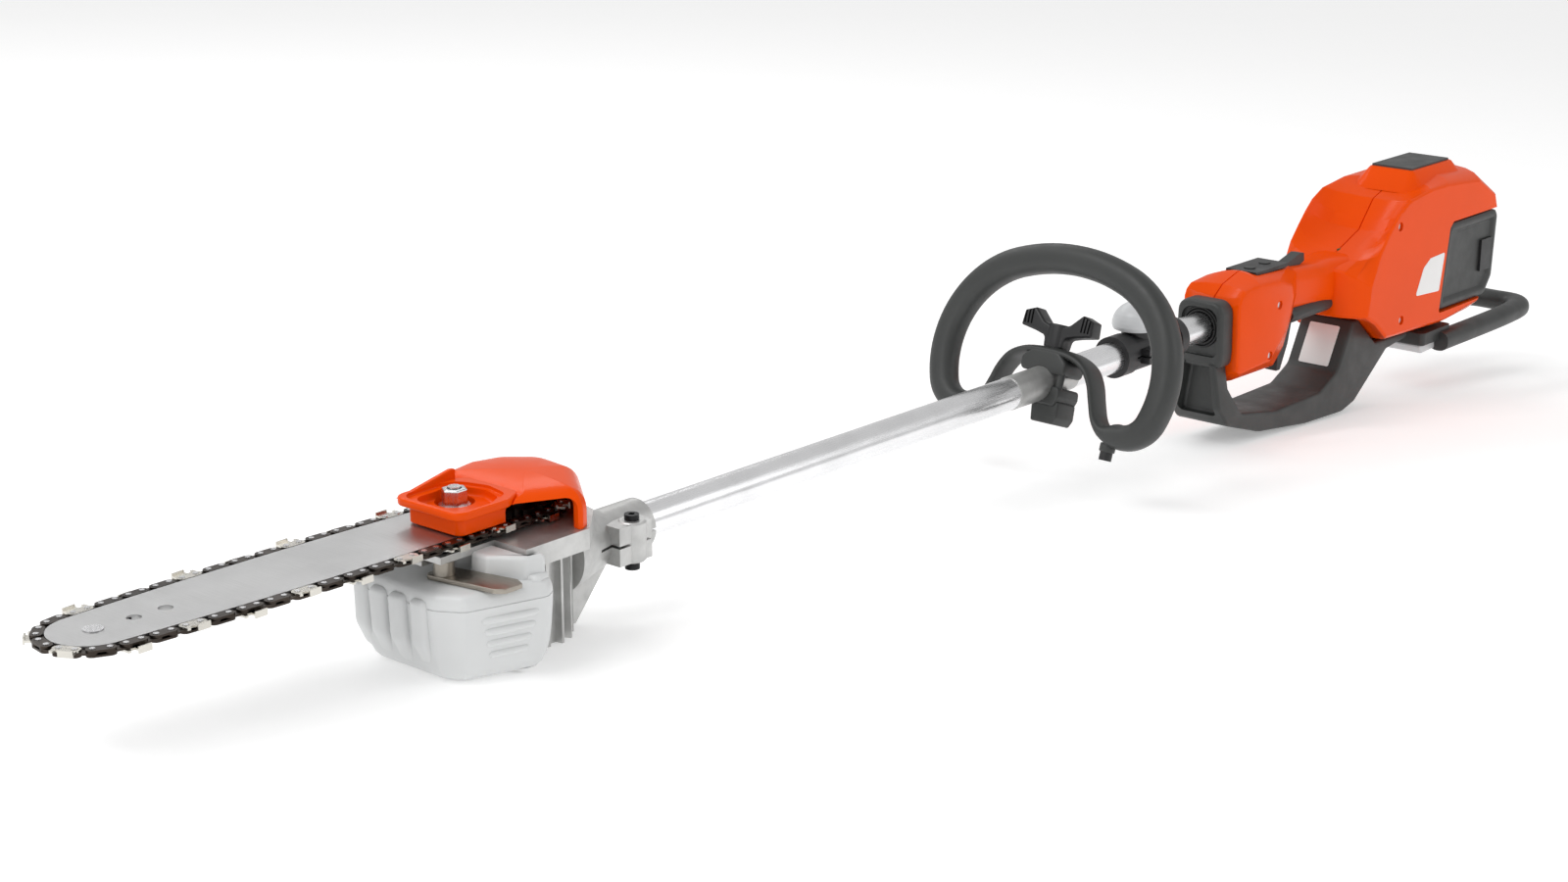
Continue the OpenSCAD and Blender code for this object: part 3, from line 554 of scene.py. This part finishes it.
def battery_housing():
    turns = [(1.0, 1, 2.6), (0.985, 1, 1.2), (0.96, 0.97, 0.3), (0.9, 0.8, 0), (0.8, 0.5, 0), (0.6, 0.2, 0),
             (0.3, 0.03, 0)]
    bay = loft("housing_left_visual", both_sides(BAY_SEAM, BAY_FACE, 46, turns), 2.6, steps=5, crease=20)
    pedestal = prism("pedestal", [(996, -22), (1072, -22), (1072, 22), (996, 22)], 70, 88, 4,
                     place=plan_place,
                     levels=[(70, -15), (77, -9), (80, -6.5), (86.6, -1.2), (87.6, -0.2), (88.2, 1.5)],
                     crease=24)
    opening = prism("bay_cut", [(1019, -45), (1031, 33), (1037, 38.4), (1170, 38.4), (1170, -45)], -60, 60,
                    3,
                    (0.01, 0.01))
    recess = prism("panel_cut", [(998.5, -20.2), (1069, -20.2), (1069, 20.2), (998.5, 20.2)], 85.4, 95, 3,
                   (0.01, 0.01), place=plan_place)
    fuse(bay, [pedestal], 20)
    carve(bay, [opening, recess], 20)
    dimples = []
    for x, z, y in [(936, 50, -46), (948, -38, -46), (888, -14, -30)]:
        for side in (-1, 1):
            dimples.append(rod("dimple", "y", 4.2, -3.2, 3.2, (x, side * abs(y), z), 0.8, 24))
    carve(bay, dimples, 20)
    stations = [(796, 9, 19, 16), (812, 9.5, 20, 16), (840, 7, 20, 16.5), (862, 5, 20.5, 18),
                (880, 4, 22, 22),
                (894, 2, 24, 28), (908, 0, 26, 34)]
    rings = []
    for x, z, tall, wide in smooth_path(stations, 4):
        one = []
        for k in range(40):
            a = 2 * math.pi * k / 40
            c, s = math.cos(a), math.sin(a)
            one.append(Vector((x, math.copysign(abs(c) ** 0.62, c) * wide,
                               z + math.copysign(abs(s) ** 0.62, s) * tall)))
        rings.append(one)
    grip = skin("grip", rings)
    turns = [(1.0, 1, 3.0), (0.985, 1, 1.5), (0.95, 0.99, 0.4), (0.9, 0.93, 0), (0.72, 0.6, 0),
             (0.5, 0.3, 0),
             (0.25, 0.08, 0)]
    throttle = loft("throttle_shell", both_sides(THROTTLE_SEAM, THROTTLE_FACE, 28, turns), 4, steps=5,
                    crease=22)
    dimples = [rod("dimple", "y", 3.8, -2.5, 2.5, (x, side * 28, z), 0.8, 24)
               for x, z in [(764, 8), (752, -34)] for side in (-1, 1)]
    slots = [prism("keypad_cut", [(743, -15.6), (797, -15.6), (797, 15.6), (743, 15.6)], 32.8, 60, 4,
                   (0.01, 0.01),
                   place=plan_place)]
    slots.append(box_cut("trigger_cut", (794, -6.4, -80), (836, 6.4, -5)))
    carve(throttle, dimples + slots, 22)
    joined(bay, [grip, throttle])
    heads = [rod("housing_screws_visual", "y", 3.0, y, y + 3, (x, 0, z), 0.5, 24)
             for x, z, y in [(764, 8, -26.4), (752, -34, -26.4), (888, -14, -28), (936, 50, -44.2),
                             (948, -38, -44.2)]]
    finish_piece(joined(heads[0], heads[1:]), "rear", "bright_steel", ["housing_screws"])
    finish_piece(bay, "rear", "orange_shell", ["housing_left", "housing_right"])


def battery():
    pack = prism("battery_pack_visual", WINDOW, -44, 44, 7, levels=[
        (-41.4, 11), (-41.6, 9.5), (-43.2, 7.6), (-44.0, 6.4), (-44.3, 4.5), (-43.9, 1.4), (-43.2, 0.3),
        (-42, 0),
        (42, 0), (43.2, 0.3), (43.9, 1.4), (44.3, 4.5), (44.0, 6.4), (43.2, 7.6), (41.6, 9.5), (41.4, 11)],
        steps=5, crease=28)
    finish_piece(pack, "battery", "grey_plastic", ["battery_pack"])


def grip_parts():
    rings = []
    for x, size in [(806, 0.9), (812, 1), (888, 1), (893, 0.94), (896.5, 0.8), (898.5, 0.55), (899.2, 0.2)]:
        rings.append([Vector((x, 19.2 * size * math.cos(2 * math.pi * k / 36),
                              -12 + 9.6 * size * math.sin(2 * math.pi * k / 36))) for k in range(36)])
    finish_piece(skin("grip_insert_visual", rings), "rear", "grey_plastic", ["grip_insert"])
    near = prism("label_side", [(984, 4, 6), (996, 11), (1023, 12), (1016, -23), (972, -20)], -46.35, -45.6,
                 2,
                 (0.1, 0.1))
    finish_piece(near, "rear", "orange_shell", material="label_white")


# ---------- hand guard and rear loop ----------

GUARD_SIDE = [(680, -30, 1), (680, -68, 5), (691, -84, 12), (745, -101, 60), (823, -111, 60),
              (887, -114, 24),
              (908, -109, 12), (962, -71, 6), (1000, -67, 2), (1000, -62, 2), (940, -60, 3), (906, -32, 2),
              (897, -32, 3), (874, -74, 14), (846, -87, 20), (771, -87.5, 60), (713, -77, 8), (702, -60, 3),
              (697.6, -53, 1), (697.6, -30, 1)]


def guard():
    body = prism("hand_guard_visual", GUARD_SIDE, -26, 26, 4, (2.6, 2.6), steps=8, crease=30)
    for v in body.data.vertices:
        x, z = v.co.x / MM, v.co.z / MM
        front = max(0.0, min(1.0, (712 - x) / 10)) * max(0.0, min(1.0, (z + 76) / 46))
        v.co.y *= 1 - 0.34 * front
    channel = prism("channel", [(-11, -24), (11, -24), (19, -75.5), (-19, -75.5)], 660, 692.5, 4,
                    (0.01, 2.5),
                    place=front_place)
    carve(body, [channel], 30)
    frame_ring = prism("front_frame", [(-22, -34), (22, -34), (23, -20), (22, 23), (-22, 23), (-23, -20)],
                       681, 698, 11,
                       (3.4, 1), place=front_place, steps=7)
    well = prism("well", [(-17, -24), (17, -24), (18, -16), (17, 17.5), (-17, 17.5), (-18, -16)], 670,
                 684.6, 10,
                 (0.01, 2.2), place=front_place, steps=7)
    bore = rod("bore", "x", 15.6, 670, 710, edge=0.01)
    carve(frame_ring, [well, bore], 30)
    joined(body, [frame_ring])
    finish_piece(body, "rear", "grey_plastic", ["hand_guard"])
    seal = lathe("tube_seal_visual",
                 [(686, 13.0), (683.2, 13.2), (682.2, 13.9), (682.2, 14.8), (683.4, 15.3),
                  (684.4, 15.6), (682.8, 16.2), (682.8, 17.2), (684.4, 17.8),
                  (706, 15.4),
                  (706, 13.0)], closed=True, sides=64)
    finish_piece(seal, "rear", "black_rubber", ["tube_seal"])
    slope = math.atan2(42, 23)
    base = Vector((884.5, 0, -55))
    along, out = (Vector((math.cos(slope), 0, math.sin(slope))),
                  Vector((-math.sin(slope), 0, math.cos(slope))))

    def web_place(u, v, w):
        return base + along * v + out * w + Vector((0, u, 0))
    label = prism("label_guard", [(-15, -19), (15, -19), (15, 19), (-15, 19)], -0.6, 0.9, 1.5, (0.1, 0.1),
                  place=web_place)
    finish_piece(label, "rear", "grey_plastic", material="label_white")


def rear_loop():
    corners = [(1040, -37), (1176, -37, 0), (1218, -27, 0), (1223, 0, 0), (1218, 27, 0), (1176, 37, 0),
               (1040, 37)]
    path = smooth_path([(x[0], x[1], 10.2, 9.2) for x in corners], 7)
    path = [(u, v, r + 1.6 * max(0.0, min(1.0, (u - 1185) / 30)), w) for u, v, r, w in path]
    loop = bar_along("rear_loop_visual", path, lambda u, v, w: Vector((u, v, w - 77)), sides=28, power=0.85)
    pad = prism("pad", [(1008, -38), (1062, -38), (1062, 38), (1008, 38)], -76.4, -64, 5, (2, 0.5),
                place=plan_place)
    foot = prism("rear_loop_foot", [(1010, -76), (1060, -76), (1055, -84), (1016, -85)], -33, 33, 2,
                 (1.5, 1.5))
    finish_piece(foot, "rear", "grey_plastic", material="knob_grey")
    joined(loop, [pad])
    finish_piece(loop, "rear", "grey_plastic", ["rear_loop"])


# ---------- loop handle ----------

def arc(centre, radius, start, end, count, thick, wide):
    """Points of an arc with the half thickness and half width of the bar."""
    out = []
    for k in range(count):
        a = math.radians(start + (end - start) * k / count)
        share = k / count
        out.append((centre[0] + radius * math.cos(a), centre[1] + radius * math.sin(a),
                    thick[0] + (thick[1] - thick[0]) * share, wide[0] + (wide[1] - wide[0]) * share))
    return out


def lean_up_place(u, v, w):
    """Outline seen along the knob's axis (y, across), thickness upwards."""
    return lean_place(u, w, v)


def handle():
    half = arc((0, -55), 150, 90, 70.5, 7, (12, 12), (12, 12))
    half += arc((23.4, 11), 80, 70.5, -20, 24, (12, 11), (12, 11.2))
    half += arc((76, -8.2), 24, -20, -104, 14, (11, 9.6), (11.2, 10.6))
    band = smooth_path([(69.5, -32.2, 9.2, 10.8), (60.5, -30.5, 5.4, 11.8), (53, -23, 3.5, 12),
                        (47.5, -10, 3.2, 12),
                        (42.5, 3, 3.3, 12.4), (34.5, 13.6, 3.5, 13.2), (22, 19.6, 3.6, 14.2),
                        (8, 21.4, 3.6, 15)], 5)
    half += band
    left = [(-u, v, r, w) for u, v, r, w in reversed(half[1:])]
    loop = bar_along("loop_handle_visual", half + left, lean_place, closed=True, sides=26, power=0.8)
    cheek = prism("cheek", [(-20, 4), (-21, 14), (-12, 22), (12, 22), (21, 14), (20, 4)], -15, 15, 4,
                  (2.4, 2.4),
                  place=lean_place)
    carve(cheek, [rod("tube_cut", "x", 13.0, 430, 500, edge=0.01)])
    boss = prism("boss", [(-66 + 6.2 * math.cos(k * math.pi / 12),
                           6.2 * math.sin(k * math.pi / 12)) for k in range(24)],
                 -45.4, -38.6, 0.4, (1, 1), place=lean_up_place, steps=2)
    joined(loop, [cheek, boss])
    finish_piece(loop, "handle", "grey_plastic", ["loop_handle"])
    plate = prism("saddle", [(-20, -5), (20, -5), (21, -12), (18, -20), (-18, -20), (-21, -12)], -15, 15, 3,
                  (1.5, 1.5),
                  place=lean_place)
    carve(plate, [rod("tube_cut", "x", 13.0, 430, 500, edge=0.01)])
    block = prism("saddle_block", [(-21, -16), (1, -16), (3, -22), (1, -34), (-19, -34), (-22, -28)], -13,
                  13, 2,
                  (1.4, 1.4), place=lean_place)
    bolt = prism("bolt", [(3.4 * math.cos(k * math.pi / 8),
                           3.4 * math.sin(k * math.pi / 8)) for k in range(16)],
                 -10, 8, 0.3, (0.2, 0.2), place=lambda u, v, w: lean_place(u - 16.5, w, v - 10))
    joined(plate, [block, bolt])
    finish_piece(plate, "handle", "grey_plastic", ["handle_saddle"])


def wing_knob():
    knob = prism("handle_knob_visual",
                 [(-8.5, 24.2), (8.5, 24.2), (9.5, 33, 4), (19, 35.5, 4), (33, 38, 1.5),
                  (32, 50, 1.5), (22, 53.5, 1.5), (12, 44, 5), (5, 41.5, 3),
                  (-5, 41.5, 3),
                  (-12, 44, 5), (-22, 53.5, 1.5), (-32, 50, 1.5), (-33, 38, 1.5),
                  (-19, 35.5, 4), (-9.5, 33, 4)], -7.5, 7.5, 2, (2.2, 2.2),
                 place=lean_place)
    hub = prism("hub", [(9.6 * math.cos(k * math.pi / 16),
                         9.6 * math.sin(k * math.pi / 16)) for k in range(32)],
                24.2, 43.4, 0.4, (0.4, 1.4), place=lean_up_place, steps=2)
    fuse(knob, [hub])
    cuts = [prism("eye", [(4.6 * math.cos(k * math.pi / 12),
                           4.6 * math.sin(k * math.pi / 12)) for k in range(24)],
                  38, 50, 0.3, (0.01, 0.01), place=lean_up_place, steps=2)]
    for side in (-1, 1):
        for y in (23.5, 26.6, 29.7):
            line = [(side * (y - 0.9), 40), (side * (y + 0.7), 40), (side * (y + 1.5), 60),
                    (side * (y - 0.1), 60)]
            for low, high in ((-9, -5.6), (5.6, 9)):
                cuts.append(prism("groove", line, low, high, 0.2, (0.01, 0.01), place=lean_place, steps=2))
    carve(knob, cuts)
    screw = prism("knob_screw",
                  [(3.6 * math.cos(k * math.pi / 3), 3.6 * math.sin(k * math.pi / 3)) for k in range(6)],
                  36, 41.6, 0.6, (0.2, 0.8), place=lean_up_place, steps=2)
    finish_piece(knob, "handle_knob", "black_plastic", ["handle_knob"])
    finish_piece(screw, "handle_knob", "black_plastic", material="bright_steel")


# ---------- sprocket cover and oil tank ----------

SHROUD = [(-136, -22, 4), (-145, -30, 4), (-102, -52.5, 3), (-95, -49, 5), (-64, -12, 14), (-60, 22, 24),
          (-80, 45, 22), (-104, 52, 14), (-136, 46, 8)]


def cover():
    levels = [(33.7, 0), (44, 0), (48, 0.4), (51, 1.3), (53.6, 2.8), (55.8, 4.8), (57.4, 7.2), (58.4, 9.4)]
    rings = [[plan_place(p.x, p.y, z) for p in ring(turned_left(SHROUD), 6, inset, 9)]
             for z, inset in levels]
    middle = sum(rings[-1], Vector()) / len(rings[-1])
    for share in (0.88, 0.74, 0.58, 0.4, 0.22, 0.06):
        rings.append([middle + (p - middle) * share + Vector((0, 0, 3.4 * (1 - share ** 2)))
                      for p in rings[len(levels) - 1]])
    shroud = skin("sprocket_cover_visual", rings, crease=50)
    block = prism("block", [(-178, -24), (-128, -24), (-128, 24), (-178, 24)], 41, 56, 6, (1.2, 0.2),
                  place=plan_place)
    rim = prism("rim", [(-184, -30), (-142, -30), (-126, -22), (-126, 22), (-140, 30), (-184, 30)], 52.5,
                58, 9, (1.6, 1.4),
                place=plan_place, steps=7)
    fin = prism("fin", [(-184, 55), (-134, 55), (-134, 64), (-138, 64.4)], 26.4, 29.6, 1, (0.8, 0.8))
    fuse(shroud, [block, rim, fin], 38)
    bowl = prism("bowl", [(-176, -22), (-150, -22), (-138, -16), (-133.5, 0), (-138, 15), (-150, 21),
                          (-176, 21)],
                 50.4, 80, 9, (2.4, 0.01), place=plan_place, steps=7)
    rim_step = prism("rim_step",
                     [(-181, -27), (-150, -27), (-135, -19), (-131, 0), (-137, 20), (-150, 26), (-181, 26)],
                     55.6, 80, 10, (0.8, 0.01), place=plan_place, steps=7)
    pocket = rod("pocket", "z", 12.5, 46, 60, (STUD.x, STUD.y, 0), 1.2, 48)
    stud_hole = rod("stud_hole", "z", 4.4, 38, 60, (STUD.x, STUD.y, 0), 0.1, 32)
    inside = prism("inside", [(-103.6, -46), (-107.5, -66), (-152, -44), (-142, -26), (-131, -14),
                              (-128, 38),
                              (-106, 46), (-82, 40), (-65, 21), (-67, -10)], 30, 54, 3, (0.01, 6),
                              place=plan_place)
    bar_slot = prism("bar_slot", [(-150, -42), (-120, -42), (-120, 44), (-150, 44)], 28, 40.9, 1,
                     (0.01, 0.01),
                     place=plan_place, steps=2)
    carve(shroud, [bowl, rim_step, pocket, stud_hole, inside, bar_slot], 44)
    finish_piece(shroud, "saw_head", "orange_shell", ["sprocket_cover"])


def tank():
    outline = [(-213, -36, 10), (-203, -53, 9), (-150, -70, 9), (-139, -64, 7), (-139, 32, 6),
               (-152, 42, 9),
               (-196, 42, 9), (-212, 30, 9)]
    levels = [(-42.6, 19), (-42, 15), (-40, 10.6), (-36.5, 7.2), (-31, 4.6), (-24, 2.8), (-14, 1.4),
              (0, 0.4),
              (6.6, 0.1), (6.9, 0.8), (7.3, 0.8), (7.6, 0.1), (11.5, 0.5), (14.4, 1.6), (16, 3.6),
              (16.6, 6.5)]
    body = prism("oil_tank_visual", outline, -43, 13, 8, place=plan_place, steps=7, levels=levels,
                 crease=40)
    tower = prism("tower", [(-171, -39, 5), (-157, -58, 5), (-143, -63, 4), (-143, -54.8, 1),
                             (-152.6, -54.8, 1), (-152.6, -24), (-171, -24)], 4, 31, 3, (0.1, 3),
                  place=plan_place, steps=6)
    ledge = prism("ledge", [(-156, -67), (-141, -62), (-141, -30), (-156, -30)], 2, 19.4, 4, (0.1, 2.4),
                  place=plan_place, steps=6)
    slant = math.atan2(-17, 53)

    def face_place(u, v, w):
        return Vector((-176.5, -61.5, 0)) + Vector((math.cos(slant), math.sin(slant), 0)) * u \
            + Vector((math.sin(slant), -math.cos(slant), 0)) * w + Vector((0, 0, v))
    ribs = []
    for k, z in enumerate((-1, -8.5, -16, -23.5)):
        ends = [(-17 + k * 1.5, z, 0.3, 0.3), (-15 + k * 1.5, z, 2.2, 2.0), (-8, z, 2.6, 2.6),
                (12, z, 2.6, 2.6),
                (20 - k * 2.0, z, 2.2, 2.0), (22 - k * 2.0, z, 0.3, 0.3)]
        sink = 1.2 + (0.2, 0.7, 1.6, 2.8)[k]
        ribs.append(bar_along("rib", smooth_path(ends, 4), lambda u, v, w,
                              sink=sink: face_place(u, v, w - sink),
                              sides=16))
    pleats = []
    for y, reach in ((-24, 216), (-6, 217), (12, 216), (29, 214)):
        pleats.append(prism("pleat",
                            [(-190, 11), (-reach, 12, 4), (-reach + 0.5, -16, 14), (-reach + 9, -33, 16),
                             (-reach + 26, -42.4, 12),
                                      (-178, -42.4)], y - 7, y + 7, 3, (4, 4), steps=6))
    joined(body, [tower, ledge] + ribs + pleats)
    finish_piece(body, "saw_head", "white_tank", ["oil_tank"])
    hook = prism("branch_hook_visual",
                 [(-196, -11, 4), (-177, -8, 4), (-165.5, -60, 2), (-169, -68, 2), (-183, -68, 3),
                                        (-187.5, -62, 3)], 17, 20, 3, (0.4, 0.5), place=plan_place, steps=5)
    finish_piece(hook, "saw_head", "hook_steel", ["branch_hook"])
    nut = prism("bar_nut_visual",
                [(8.4 * math.cos(k * math.pi / 3), 8.4 * math.sin(k * math.pi / 3)) for k in range(6)],
                46.4, 59.4, 0.7, (0.4, 1.3), place=lambda u, v, w: Vector((STUD.x + u, STUD.y + v, w)),
                steps=3)
    flange = rod("flange", "z", 10.2, 46.4, 49, (STUD.x, STUD.y, 0), 0.5, 48)
    fuse(nut, [flange])
    carve(nut, [rod("nut_bore", "z", 4.6, 40, 70, (STUD.x, STUD.y, 0), 0.1, 32)])
    finish_piece(nut, "bar_nut", "bright_steel", ["bar_nut"])


def trim():
    """Boss round the clamp screw, and softer rims on the plain machined and moulded nodes."""
    boss = rod("clamp_boss", "z", 9.6, -13.8, 13.8, (-26, -20.5, 0), 1.4)
    carve(boss, [rod("screw_bore", "z", 3.2, -20, 20, (-26, -20.5, 0), 0.1, 24)])
    finish_piece(boss, "saw_head", "alloy_cast")
    for name, width in (("motor_housing", 0.9), ("telescope_collar", 0.7), ("keypad_panel", 0.8),
                        ("top_panel", 1.2),
                        ("trigger_lock", 1.0), ("battery_latch_left", 0.8), ("battery_latch_right", 0.8)):
        change = NODES[name].modifiers.new("rim", "BEVEL")
        change.width = width * MM
        change.segments = 2
        change.limit_method = "ANGLE"
        change.angle_limit = math.radians(50)
        change.use_clamp_overlap = True


battery_housing()
battery()
trim()
grip_parts()
guard()
rear_loop()
handle()
wing_knob()
cover()
tank()
